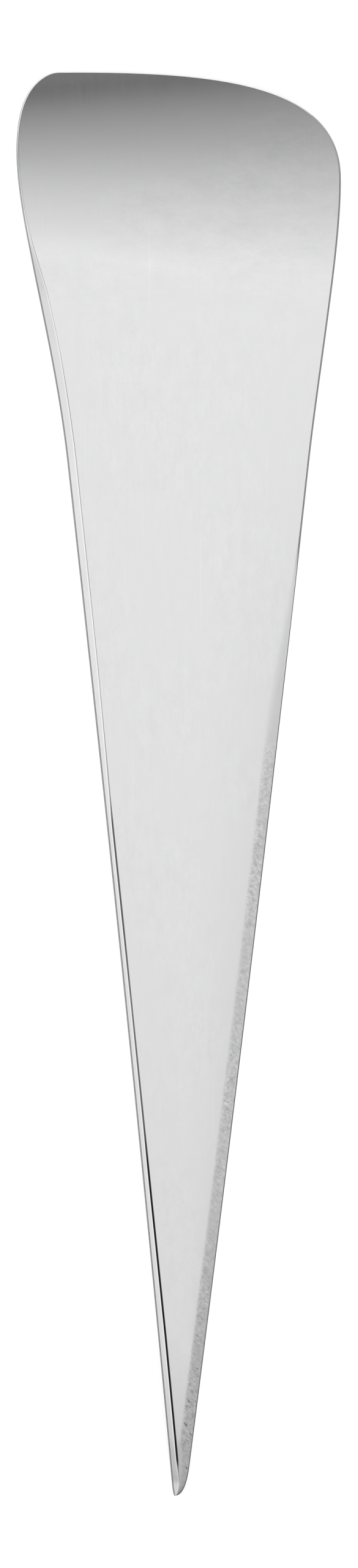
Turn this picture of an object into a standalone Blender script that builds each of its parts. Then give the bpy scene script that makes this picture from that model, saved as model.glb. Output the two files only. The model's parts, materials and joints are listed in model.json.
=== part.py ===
"""One-piece steel cheese knife: a tapered sheet with chamfered spine, ground edge and curled handle end."""

import math

import bmesh
import bpy
import numpy as np
from mathutils import Matrix, Vector
from mathutils.geometry import interpolate_bezier

MM = 0.001

# The flat blank, with the tip at its origin and the neck where the blade meets the handle
BLADE_LENGTH = 130.4 * MM
HANDLE_LENGTH = 52.0 * MM
SHEET = 2.5 * MM
HANDLE_WIDTH = 41.2 * MM
HANDLE_SHIFT = 0.6 * MM
NECK_WIDTH = 30.7 * MM
NECK_SHIFT = 1.6 * MM
SPINE_BOW = 0.29 * MM
EDGE_BOW = 0.28 * MM
# The end of the handle, measured back from the end of the blank
BULGE_BACK = 11.9 * MM
SHOULDER_BACK = 15.4 * MM
CROWN_SHIFT = -12.5 * MM
# The tip
TIP_WIDTH = 2.5 * MM
TIP_SHIFT = 0.65 * MM
NOSE_HEIGHT = 0.8 * MM
BELLY_HEIGHT = 4.0 * MM
POINT_LENGTH = 6.0 * MM
# The curl of the handle end
CURL_LENGTH = 27.4 * MM
CURL_RADIUS = 37.0 * MM
# Edges and grinding
FRONT_ROUND = 0.3 * MM
BACK_ROUND = 0.8 * MM
SPINE_CHAMFER = 1.05 * MM
SPINE_DROP = 0.8 * MM
CHAMFER_RUNOUT = 11.0 * MM
GRIND_SETBACK = 7.3 * MM
GRIND_RUNOUT = 38.0 * MM
BEVEL_WIDTH = 1.6 * MM
EDGE_THICKNESS = 0.75 * MM
EDGE_FLAT = 0.11 * MM
TIP_THICKNESS = 1.5 * MM
FOOT_DEPTH = 0.1 * MM

# How full each curve of the outline is at its start and at its end, as shares of its reach
NOSE_FULLNESS = (0.45, 0.5)
BELLY_FULLNESS = (0.5, 0.68)
HIP_FULLNESS = (0.42, 0.26)
SIDE_FULLNESS = (0.3, 0.22)
TOP_LEFT_FULLNESS = (0.9, 0.5)
TOP_RIGHT_FULLNESS = (0.59, 0.81)

# How finely the curves are drawn
CURVE_STEPS = 240
NOSE_LEVELS = 4
BLADE_LEVELS = 26
END_STEP = 0.8 * MM
CURL_TURN = math.radians(3.0)
ROUND_STEPS = 2
LEAST_STEP = 0.05 * MM
MERGE = 0.0005 * MM
HALVINGS = 40
# A cubic curve bows three quarters as far as its handles stand off
HANDLE_OVER_BOW = 4.0 / 3.0
# A face counts as one to lie on if it points down this much and is no sliver
LEAST_DOWN = 0.7
SLIVER = 0.01 * MM * MM

STEEL_COLOUR = (0.74, 0.74, 0.745, 1.0)
STEEL_ROUGHNESS = 0.28

UP = Vector((0.0, 1.0))
DOWN = Vector((0.0, -1.0))
LEFT = Vector((-1.0, 0.0))
RIGHT = Vector((1.0, 0.0))

BLANK_LENGTH = BLADE_LENGTH + HANDLE_LENGTH
CURL_START = BLANK_LENGTH - CURL_LENGTH
GRIND_START = BLADE_LENGTH - GRIND_SETBACK
FULL_DROP = 0.5 * SHEET * (1.0 - EDGE_FLAT / EDGE_THICKNESS)


def mix(a, b, share):
    """Value between a and b."""
    return a + (b - a) * share


def ease(share):
    """Share from 0 to 1 with a soft start and a soft end."""
    t = min(max(share, 0.0), 1.0)
    return t * t * (3.0 - 2.0 * t)


def curve(start, handle_a, handle_b, end):
    """Points along a smooth curve between two ends with their handles."""
    return interpolate_bezier(start, handle_a, handle_b, end, CURVE_STEPS + 1)


def sweep(start, leaving, end, arriving, fullness):
    """Smooth curve that leaves start in one direction and arrives at end in another."""
    chord = end - start
    reach = leaving * fullness[0] * chord.dot(leaving)
    pull = arriving * fullness[1] * chord.dot(arriving)
    return curve(start, start + reach, end - pull, end)


def spaced(points, step):
    """Evenly spaced points along a fine line, with its ends."""
    lengths = np.cumsum([0.0] + [(b - a).length for a, b in zip(points, points[1:])])
    stops = np.linspace(0.0, lengths[-1], math.ceil(lengths[-1] / step) + 1)
    xs = np.interp(stops, lengths, [p.x for p in points])
    ys = np.interp(stops, lengths, [p.y for p in points])
    return [Vector(place) for place in zip(xs, ys)]


def bowed(start, end, bow):
    """Handles of a nearly straight side, bowed to the right of its direction."""
    third = (end - start) / 3.0
    aside = Vector((third.y, -third.x)).normalized() * bow * HANDLE_OVER_BOW
    return start + third + aside, end - third + aside


def outline_curves():
    """Left side from tip to bulge, end of the handle, and right side from tip to shoulder."""
    tip = Vector((0.0, 0.0))
    spine_foot = Vector((TIP_SHIFT - TIP_WIDTH / 2, NOSE_HEIGHT))
    edge_foot = Vector((TIP_SHIFT + TIP_WIDTH / 2, BELLY_HEIGHT))
    neck_left = Vector((NECK_SHIFT - NECK_WIDTH / 2, BLADE_LENGTH))
    neck_right = Vector((NECK_SHIFT + NECK_WIDTH / 2, BLADE_LENGTH))
    bulge = Vector((HANDLE_SHIFT - HANDLE_WIDTH / 2, BLANK_LENGTH - BULGE_BACK))
    shoulder = Vector((HANDLE_SHIFT + HANDLE_WIDTH / 2, BLANK_LENGTH - SHOULDER_BACK))
    crown = Vector((CROWN_SHIFT, BLANK_LENGTH))

    spine_a, spine_b = bowed(spine_foot, neck_left, SPINE_BOW)
    edge_a, edge_b = bowed(edge_foot, neck_right, EDGE_BOW)
    spine_in = (spine_a - spine_foot).normalized()
    spine_out = (neck_left - spine_b).normalized()
    edge_in = (edge_a - edge_foot).normalized()
    edge_out = (neck_right - edge_b).normalized()

    nose = sweep(tip, LEFT, spine_foot, spine_in, NOSE_FULLNESS)
    spine = curve(spine_foot, spine_a, spine_b, neck_left)
    hip = sweep(neck_left, spine_out, bulge, UP, HIP_FULLNESS)
    belly = sweep(tip, RIGHT, edge_foot, edge_in, BELLY_FULLNESS)
    edge = curve(edge_foot, edge_a, edge_b, neck_right)
    side = sweep(neck_right, edge_out, shoulder, UP, SIDE_FULLNESS)
    top_left = sweep(bulge, UP, crown, RIGHT, TOP_LEFT_FULLNESS)
    top_right = sweep(crown, RIGHT, shoulder, DOWN, TOP_RIGHT_FULLNESS)
    left = nose + spine[1:] + hip[1:]
    right = belly + edge[1:] + side[1:]
    return left, top_left + top_right[1:], right


LEFT_SIDE, HANDLE_END, RIGHT_SIDE = outline_curves()


def side_x(side, y):
    """Where a side of the blank lies at height y."""
    return float(np.interp(y, [p.y for p in side], [p.x for p in side]))


def ground(y):
    """Share of the full grind at height y: nothing on the handle, all of it along the blade."""
    return ease((GRIND_START - y) / GRIND_RUNOUT)


def spine_thickness(y):
    """Thickness along the spine: the full sheet on the handle, thinner to the tip."""
    taper = mix(TIP_THICKNESS, SHEET, min(y / GRIND_START, 1.0))
    return mix(EDGE_THICKNESS, taper, ease(y / POINT_LENGTH))


def thickness(x, y):
    """Thickness of the ground knife over a point of the blank."""
    low = side_x(LEFT_SIDE, y)
    high = side_x(RIGHT_SIDE, y)
    across = min(max((x - low) / max(high - low, EDGE_FLAT), 0.0), 1.0)
    spine = spine_thickness(y)
    return mix(spine, EDGE_THICKNESS, ground(y) * across)


def chamfered(y):
    """Share of the full spine chamfer at height y: all of it below the curl, none around its end."""
    return 1.0 - ease((y - CURL_START) / CHAMFER_RUNOUT)


def front_widths(y):
    """Widths of the front edge forms at height y, spine then edge."""
    chamfer = SPINE_CHAMFER * spine_thickness(y) / SHEET
    return mix(FRONT_ROUND, chamfer, chamfered(y)), mix(FRONT_ROUND, BEVEL_WIDTH, ground(y))


def back_widths(y):
    """Widths of the back edge forms at height y, spine then edge."""
    return BACK_ROUND, mix(BACK_ROUND, BEVEL_WIDTH, ground(y))


def front_drops(y):
    """Depths of the front edge forms at height y, spine then edge."""
    return mix(FRONT_ROUND, SPINE_DROP, chamfered(y)), mix(FRONT_ROUND, FULL_DROP, ground(y))


def back_drops(y):
    """Depths of the back edge forms at height y, spine then edge."""
    return BACK_ROUND, mix(BACK_ROUND, FULL_DROP, ground(y))


def meeting_level(widths_of):
    """Height near the tip at which the edge forms of both sides meet."""
    low = 0.0
    high = GRIND_START
    for _ in range(HALVINGS):
        y = 0.5 * (low + high)
        room = side_x(RIGHT_SIDE, y) - side_x(LEFT_SIDE, y)
        if room > sum(widths_of(y)):
            high = y
        else:
            low = y
    return high


FRONT_MEET = meeting_level(front_widths)
BACK_MEET = meeting_level(back_widths)


def curl_levels():
    """Heights on the blank at which the curl is cut into flat strips."""
    steps = math.ceil(CURL_LENGTH / CURL_RADIUS / CURL_TURN)
    return [CURL_START + CURL_LENGTH * i / steps for i in range(steps)]


def side_levels(join):
    """Heights at which both sides get a point, from the tip to where the handle end begins."""
    levels = [NOSE_HEIGHT * (i / NOSE_LEVELS) ** 2 for i in range(NOSE_LEVELS + 1)]
    levels += [FRONT_MEET, BACK_MEET, mix(FRONT_MEET, BELLY_HEIGHT, 0.5), POINT_LENGTH]
    levels += [mix(POINT_LENGTH, CURL_START, (i + 1) / BLADE_LEVELS) for i in range(BLADE_LEVELS)]
    levels += curl_levels()
    kept = []
    for y in sorted(levels):
        if y < join and (not kept or y - kept[-1] > LEAST_STEP):
            kept.append(y)
        elif kept and y in (FRONT_MEET, BACK_MEET):
            kept[-1] = y
    return kept


def edge_form(point, inward, width, drop, roundness, scale, sunk):
    """Points across one rounded or flat edge form, from the face out to the side, as (x, y, depth)."""
    form = []
    for k in range(ROUND_STEPS + 1):
        share = k / ROUND_STEPS
        turn = 0.5 * math.pi * share
        inset = width * scale * mix(1.0 - share, 1.0 - math.sin(turn), roundness)
        depth = sunk + (drop - sunk) * mix(share, 1.0 - math.cos(turn), roundness)
        form.append((point.x + inward.x * inset, point.y + inward.y * inset, depth))
    return form


def side_form(y, is_spine, widths, drops, meet, roundness):
    """Edge form on one face of a side point at height y, drawn in where the forms of both sides meet."""
    side = LEFT_SIDE if is_spine else RIGHT_SIDE
    inward = RIGHT if is_spine else LEFT
    point = Vector((side_x(side, y), y))
    room = side_x(RIGHT_SIDE, y) - side_x(LEFT_SIDE, y)
    scale = 1.0 if y >= meet else min(1.0, room / sum(widths))
    sunk = drops[1] * (1.0 - scale)
    if is_spine:
        drop = mix(drops[1], drops[0], ease(y / meet))
        return edge_form(point, inward, widths[0], drop, roundness, scale, sunk)
    return edge_form(point, inward, widths[1], drops[1], roundness, scale, sunk)


def side_forms(y, is_spine):
    """Front and back edge form of a side point at height y."""
    flat_front = chamfered(y) if is_spine else ground(y)
    flat_back = 0.0 if is_spine else ground(y)
    front = side_form(y, is_spine, front_widths(y), front_drops(y), FRONT_MEET, 1.0 - flat_front)
    back = side_form(y, is_spine, back_widths(y), back_drops(y), BACK_MEET, 1.0 - flat_back)
    return [front, back]


def end_forms(points, before, after):
    """Front and back edge forms around the end of the handle."""
    chain = [before] + points + [after]
    forms = []
    for i, point in enumerate(points):
        along = (chain[i + 2] - chain[i]).normalized()
        inward = Vector((along.y, -along.x))
        front = edge_form(point, inward, FRONT_ROUND, FRONT_ROUND, 1.0, 1.0, 0.0)
        back = edge_form(point, inward, BACK_ROUND, BACK_ROUND, 1.0, 1.0, 0.0)
        forms.append([front, back])
    return forms


def build_blank():
    """Closed flat blank of full sheet thickness with its edge forms, faces at z = 0 and z = -SHEET."""
    join = min(LEFT_SIDE[-1].y, RIGHT_SIDE[-1].y)
    levels = side_levels(join)
    above_left = [p for p in LEFT_SIDE[:-1] if p.y > join]
    above_right = [p for p in reversed(RIGHT_SIDE[:-1]) if p.y > join]
    end = spaced(above_left + HANDLE_END + above_right, END_STEP)
    last_left = Vector((side_x(LEFT_SIDE, levels[-1]), levels[-1]))
    last_right = Vector((side_x(RIGHT_SIDE, levels[-1]), levels[-1]))
    forms = [side_forms(y, True) for y in levels]
    forms += end_forms(end, last_left, last_right)
    forms += [side_forms(y, False) for y in reversed(levels)]

    bm = bmesh.new()
    rings = []
    for front, back in forms:
        column = [bm.verts.new((x, y, -depth)) for x, y, depth in front]
        column += [bm.verts.new((x, y, depth - SHEET)) for x, y, depth in reversed(back)]
        rings.append(column)
    for a, b in zip(rings, rings[1:]):
        for k in range(len(a) - 1):
            bm.faces.new((a[k], a[k + 1], b[k + 1], b[k]))
    open_front = [y >= FRONT_MEET for y in levels]
    open_back = [y >= BACK_MEET for y in levels]
    count = len(rings)
    front = []
    back = []
    for i, column in enumerate(rings):
        level = i if i < len(levels) else count - 1 - i
        on_side = level < len(levels)
        if not on_side or open_front[level]:
            front.append(column[0])
        if not on_side or open_back[level]:
            back.append(column[-1])
    bm.faces.new(front)
    bm.faces.new(reversed(back))
    bmesh.ops.remove_doubles(bm, verts=bm.verts[:], dist=MERGE)
    bmesh.ops.dissolve_degenerate(bm, edges=bm.edges[:], dist=MERGE)
    return bm, levels


def cut_across(bm, heights, parts):
    """Cuts the given part of the mesh along lines across the blank."""
    for y in heights:
        faces = [f for f in bm.faces if parts(f)]
        edges = list({e for f in faces for e in f.edges})
        verts = list({v for f in faces for v in f.verts})
        bmesh.ops.bisect_plane(
            bm,
            geom=verts + edges + faces,
            dist=MERGE,
            plane_co=(0.0, y, 0.0),
            plane_no=(0.0, 1.0, 0.0),
        )


def on_back(face):
    """Whether a face is part of the flat back of the blank."""
    return all(v.co.z < MERGE - SHEET for v in face.verts)


def anywhere(face):
    """Every face."""
    return True


def grind_and_curl(bm):
    """Takes the blank to its ground thickness, then rolls its end down around the curl."""
    for v in bm.verts:
        x, y, z = v.co
        z *= thickness(x, y) / SHEET
        turn = max(y - CURL_START, 0.0) / CURL_RADIUS
        flat = min(y, CURL_START)
        out = CURL_RADIUS + z
        v.co = (x, flat + out * math.sin(turn), out * math.cos(turn) - CURL_RADIUS)


def centre_of_mass(bm):
    """Centroid of the volume inside a closed mesh."""
    volume = 0.0
    moment = Vector()
    for a, b, c in ((loop.vert.co for loop in tri) for tri in bm.calc_loop_triangles()):
        part = a.dot(b.cross(c))
        volume += part
        moment += part * (a + b + c) / 4.0
    return moment / volume


def lie_down(bm):
    """Turns the knife, front up, onto the three points it rests on, and centres it over the origin."""
    centre = centre_of_mass(bm)
    hull = bm.copy()
    bmesh.ops.delete(hull, geom=hull.faces[:], context="FACES_ONLY")
    made = bmesh.ops.convex_hull(hull, input=hull.verts[:])
    sides = [g for g in made["geom"] if isinstance(g, bmesh.types.BMFace)]
    under = []
    for face in sides:
        face.normal_update()
        away = face.normal.copy()
        height = (face.verts[0].co - centre).dot(away)
        if height < 0.0:
            away.negate()
            height = -height
        if away.z < -LEAST_DOWN and face.calc_area() > SLIVER:
            under.append((height, away))
    hull.free()
    down = min(under, key=lambda item: item[0])[1]
    turn = down.rotation_difference(Vector((0.0, 0.0, -1.0))).to_matrix()
    heading = turn @ Vector((0.0, 1.0, 0.0))
    turn = Matrix.Rotation(math.atan2(heading.x, heading.y), 3, "Z") @ turn
    bmesh.ops.transform(bm, matrix=turn.to_4x4(), verts=bm.verts[:])
    low = [min(v.co[k] for v in bm.verts) for k in range(3)]
    high = [max(v.co[k] for v in bm.verts) for k in range(3)]
    shift = Vector((-(low[0] + high[0]) / 2, -(low[1] + high[1]) / 2, -low[2]))
    bmesh.ops.translate(bm, vec=shift, verts=bm.verts[:])


def stand_flat(bm):
    """Cuts the small flats that the knife stands on, at the rim of the curl and near the tip."""
    cut = bmesh.ops.bisect_plane(
        bm,
        geom=bm.verts[:] + bm.edges[:] + bm.faces[:],
        dist=MERGE,
        plane_co=(0.0, 0.0, FOOT_DEPTH),
        plane_no=(0.0, 0.0, 1.0),
        clear_inner=True,
    )
    rims = [g for g in cut["geom_cut"] if isinstance(g, bmesh.types.BMEdge)]
    bmesh.ops.edgeloop_fill(bm, edges=rims)
    bmesh.ops.translate(bm, vec=(0.0, 0.0, -FOOT_DEPTH), verts=bm.verts[:])


def steel():
    """Satin stainless steel."""
    material = bpy.data.materials.new("satin_steel")
    material.use_nodes = True
    shader = material.node_tree.nodes["Principled BSDF"]
    shader.inputs["Base Color"].default_value = STEEL_COLOUR
    shader.inputs["Metallic"].default_value = 1.0
    shader.inputs["Roughness"].default_value = STEEL_ROUGHNESS
    return material


def build():
    """Builds the knife as one object."""
    for old in list(bpy.data.objects):
        bpy.data.objects.remove(old)
    bm, levels = build_blank()
    cut_across(bm, [y for y in levels if BACK_MEET < y < CURL_START], on_back)
    cut_across(bm, curl_levels(), anywhere)
    grind_and_curl(bm)
    bmesh.ops.recalc_face_normals(bm, faces=bm.faces[:])
    lie_down(bm)
    stand_flat(bm)
    bmesh.ops.recalc_face_normals(bm, faces=bm.faces[:])
    bmesh.ops.triangulate(bm, faces=bm.faces[:])
    mesh = bpy.data.meshes.new("knife_body")
    bm.to_mesh(mesh)
    bm.free()
    mesh.materials.append(steel())
    knife = bpy.data.objects.new("knife_body", mesh)
    bpy.context.scene.collection.objects.link(knife)


build()
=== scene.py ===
"""Dresses the one-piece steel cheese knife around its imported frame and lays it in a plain, soft studio."""

import json
import logging
import math
from dataclasses import dataclass, field, replace
from enum import Enum, IntEnum
from typing import NamedTuple

import bmesh
import bpy
import numpy as np
from mathutils import Matrix, Vector
from mathutils.geometry import interpolate_bezier


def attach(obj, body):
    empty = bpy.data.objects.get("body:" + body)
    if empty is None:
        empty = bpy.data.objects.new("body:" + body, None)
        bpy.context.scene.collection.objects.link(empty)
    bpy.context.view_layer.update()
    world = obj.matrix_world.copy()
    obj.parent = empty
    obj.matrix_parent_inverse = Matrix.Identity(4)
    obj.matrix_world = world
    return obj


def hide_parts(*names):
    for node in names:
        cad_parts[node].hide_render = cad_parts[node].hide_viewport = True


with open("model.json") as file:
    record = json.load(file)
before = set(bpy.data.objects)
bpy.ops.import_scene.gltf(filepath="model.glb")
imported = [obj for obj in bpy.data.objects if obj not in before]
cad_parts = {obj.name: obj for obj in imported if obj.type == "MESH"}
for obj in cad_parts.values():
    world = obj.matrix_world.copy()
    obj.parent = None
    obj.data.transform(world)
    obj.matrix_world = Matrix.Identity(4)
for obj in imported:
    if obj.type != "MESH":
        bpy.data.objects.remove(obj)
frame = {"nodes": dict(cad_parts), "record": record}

LOG = logging.getLogger("cheese_knife")
MM = 0.001
BODY = "root"
NODE = "knife_body"
PIECE = "knife_steel"
FACE_MOUNT = "front_face"
PHOTO_HEIGHT = 2560
WHITE = (1.0, 1.0, 1.0, 1.0)
# Least length to divide by
TINY = 1e-12
# Most of a section's line that the points of a strip and the trim of a round may take
STRIP_LIMITS = (0.2, 0.5)
STRIP_POINTS = 3
FILLET_LIMIT = 0.45
# How the noise of the steel's patterns is read
NOISE_MIDDLE = 0.5
STROKE_SOFTNESS = 0.08
CLUSTER_EDGES = (0.35, 0.65)
CLUSTER_RANGE = (0.3, 1.6)
CLOUD_DETAIL = 6.0
CLOUD_ROUGHNESS = 0.8
# Where a Mix node has its colour sockets, and a Compare node its sockets for whole numbers
MIX_SHARE, MIX_FIRST, MIX_SECOND, MIX_RESULT = 0, 6, 7, 2
COMPARE_FIRST, COMPARE_SECOND = 2, 3

Row = np.ndarray
Pair = tuple[float, float]
Table = tuple[Pair, ...]
Socket = bpy.types.NodeSocket
Value = Socket | float | str | tuple[float, ...]
Inputs = dict[str | int, Value]


class Region(IntEnum):
    """The stretch of the rim that a station lies on."""

    SPINE = 0
    END = 1
    EDGE = 2


class Zone(IntEnum):
    """Which finish a face of the knife has."""

    SATIN = 0
    GROUND = 1
    # rim of the sheet, rougher, whose dark colour is painted shade
    CUT = 2

    @property
    def title(self) -> str:
        """Name of the input that takes this zone's material."""
        return self.name.capitalize()


class Mark(Enum):
    """Names of the attributes that the mesh carries for its finishes, some of them painted light and shade.
    """

    FLAT = "flat"  # place on the blank before its end was rolled
    LINE = "line"  # painted shade: near-black colour in the groove along the spine's facet
    WORN = "worn"  # painted highlight on the facet's corner beside that line
    HAZE = "haze"  # rougher satin with painted shade, darker at the point and beside the ground edge
    CURL = "curl"  # rolled handle end
    EDGED = "edged"  # ground edge
    GROUND = "ground"  # coarse part of the ground edge
    CUT = "cut"  # painted shade on the rim, where it runs into the ground edge
    ZONE = "zone"  # zone of a face


def ease(share: Row | float) -> Row | float:
    """Share from 0 to 1 with a soft start and a soft end."""
    t = np.clip(share, 0.0, 1.0)
    return t * t * (3.0 - 2.0 * t)


def mix(a: Row | float, b: Row | float, share: Row | float) -> Row | float:
    """Value between a and b."""
    return a + (b - a) * share


def spaced(points: Row, count: int) -> Row:
    """Evenly spaced points along a fine line.

    Args:
        points: The line, one (x, y) per row.
        count: Number of steps.

    Returns:
        count + 1 points, with the line's own ends.
    """
    steps = np.linalg.norm(np.diff(points, axis=0), axis=1)
    lengths = np.concatenate([[0.0], np.cumsum(steps)])
    stops = np.linspace(0.0, lengths[-1], count + 1)
    return np.column_stack([np.interp(stops, lengths, points[:, k]) for k in range(2)])


def strip_points(start: Row, end: Row, support: float, band: float) -> Row:
    """Points within a flat strip: one near each end, which keeps it flat when shaded, and one between.

    Args:
        start: Where the strip starts, one (inset, depth) per station.
        end: Where it ends.
        support: How far from the ends the outer points lie.
        band: How far from the start the middle point lies.

    Returns:
        Stations by STRIP_POINTS by (inset, depth).
    """
    way = end - start
    length = np.maximum(np.linalg.norm(way, axis=1), TINY)[:, None]
    near, inside = (np.minimum(size / length, most) for size, most in zip((support, band), STRIP_LIMITS))
    return np.stack([start + way * near, start + way * inside, end - way * near], axis=1)


def fillet(before: Row, corner: Row, after: Row, trim: Row, steps: int) -> Row:
    """Rounds one corner of the section at every station.

    Args:
        before: The section's point ahead of the corner, one (inset, depth) per station.
        corner: The corner.
        after: The section's point behind the corner.
        trim: How far from the corner the round starts and ends, per station.
        steps: Number of steps along the round.

    Returns:
        Stations by points by (inset, depth).
    """
    ends = []
    for neighbour in (before, after):
        way = neighbour - corner
        length = np.maximum(np.linalg.norm(way, axis=1), TINY)
        ends.append(corner + way * (np.minimum(trim, FILLET_LIMIT * length) / length)[:, None])
    t = np.linspace(0.0, 1.0, steps + 1)[None, :, None]
    start, end = (e[:, None, :] for e in ends)
    return (1 - t) ** 2 * start + 2 * t * (1 - t) * corner[:, None, :] + t * t * end


def add_object(name: str, data: bpy.types.ID) -> bpy.types.Object:
    """Adds an object to the scene.

    Args:
        name: The object's name.
        data: Its mesh, lamp or camera.

    Returns:
        The new object.
    """
    made = bpy.data.objects.new(name, data)
    bpy.context.scene.collection.objects.link(made)
    return made


class Board:
    """A node tree under construction, with short ways to add nodes and link them."""

    def __init__(self, tree: bpy.types.NodeTree) -> None:
        """Takes the tree to build in."""
        self.tree = tree

    @classmethod
    def of(cls, owner: bpy.types.Material | bpy.types.World) -> "Board":
        """Board on the nodes of a material or the world."""
        owner.use_nodes = True
        return cls(owner.node_tree)

    def sockets(self, way: str, kind: str, *names: str) -> None:
        """Adds inputs or outputs of one kind to the tree itself."""
        for name in names:
            self.tree.interface.new_socket(name, in_out=way, socket_type=kind)

    def given(self) -> bpy.types.bpy_prop_collection:
        """Adds the node of the tree's inputs and gives its sockets."""
        return self.node("NodeGroupInput").outputs

    def give(self, value: Socket) -> bpy.types.NodeTree:
        """Puts out the tree's result and gives the finished tree."""
        self.place("NodeGroupOutput", value)
        return self.tree

    def feed(self, node: bpy.types.Node, inputs: Inputs) -> None:
        """Links some inputs of a node to other sockets, or sets them to plain values.

        Args:
            node: The node.
            inputs: What each input gets, by the input's name or number.
        """
        for name, value in inputs.items():
            socket = node.inputs[name]
            if isinstance(value, bpy.types.NodeSocket):
                self.tree.links.new(value, socket)
            else:
                socket.default_value = value

    def node(self, kind: str, inputs: Inputs | None = None, **settings: object) -> bpy.types.Node:
        """Adds a node.

        Args:
            kind: The node's type name.
            inputs: What some of its inputs get, by name or number.
            settings: Properties to set on it.

        Returns:
            The new node.
        """
        made = self.tree.nodes.new(kind)
        for name, value in settings.items():
            setattr(made, name, value)
        self.feed(made, inputs or {})
        return made

    def place(self, kind: str, *values: Value, **settings: object) -> bpy.types.Node:
        """Adds a node and feeds its first inputs in order."""
        return self.node(kind, dict(enumerate(values)), **settings)

    def group(self, tree: bpy.types.NodeTree, **inputs: Value) -> Socket:
        """Adds a shared group with its own values and gives its result."""
        return self.node("ShaderNodeGroup", inputs, node_tree=tree).outputs[0]

    def noise(self, **inputs: Value) -> Socket:
        """Adds a noise texture and gives its value."""
        return self.node("ShaderNodeTexNoise", inputs).outputs[0]

    def math(self, operation: str, *values: Value) -> Socket:
        """Adds a Math node and gives its result."""
        return self.place("ShaderNodeMath", *values, operation=operation).outputs[0]

    def scaled(self, vector: Value, *factors: Value) -> Socket:
        """Scales a vector along each axis by its own factor."""
        size = self.place("ShaderNodeCombineXYZ", *factors).outputs[0]
        return self.place("ShaderNodeVectorMath", vector, size, operation="MULTIPLY").outputs[0]

    def soft_step(self, value: Value, low: Value, high: Value) -> Socket:
        """0 below low, 1 above high, and a soft rise between them."""
        made = self.place("ShaderNodeMapRange", value, low, high, interpolation_type="SMOOTHSTEP")
        return made.outputs[0]

    def between(self, share: Socket, a: Value, b: Value) -> Socket:
        """Mixes two numbers."""
        return self.math("MULTIPLY_ADD", share, self.math("SUBTRACT", b, a), a)

    def blend(self, share: Value, a: Value, b: Value) -> Socket:
        """Mixes two colours."""
        inputs = {MIX_SHARE: share, MIX_FIRST: a, MIX_SECOND: b}
        return self.node("ShaderNodeMix", inputs, data_type="RGBA").outputs[MIX_RESULT]

    def total(self, base: float, *parts: tuple[Socket, float]) -> Value:
        """Adds shares of some patterns to a base value.

        Args:
            base: The value without them.
            parts: Each pattern with its share.

        Returns:
            The sum.
        """
        value: Value = base
        for pattern, share in parts:
            value = self.math("MULTIPLY_ADD", pattern, share, value)
        return value


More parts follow.
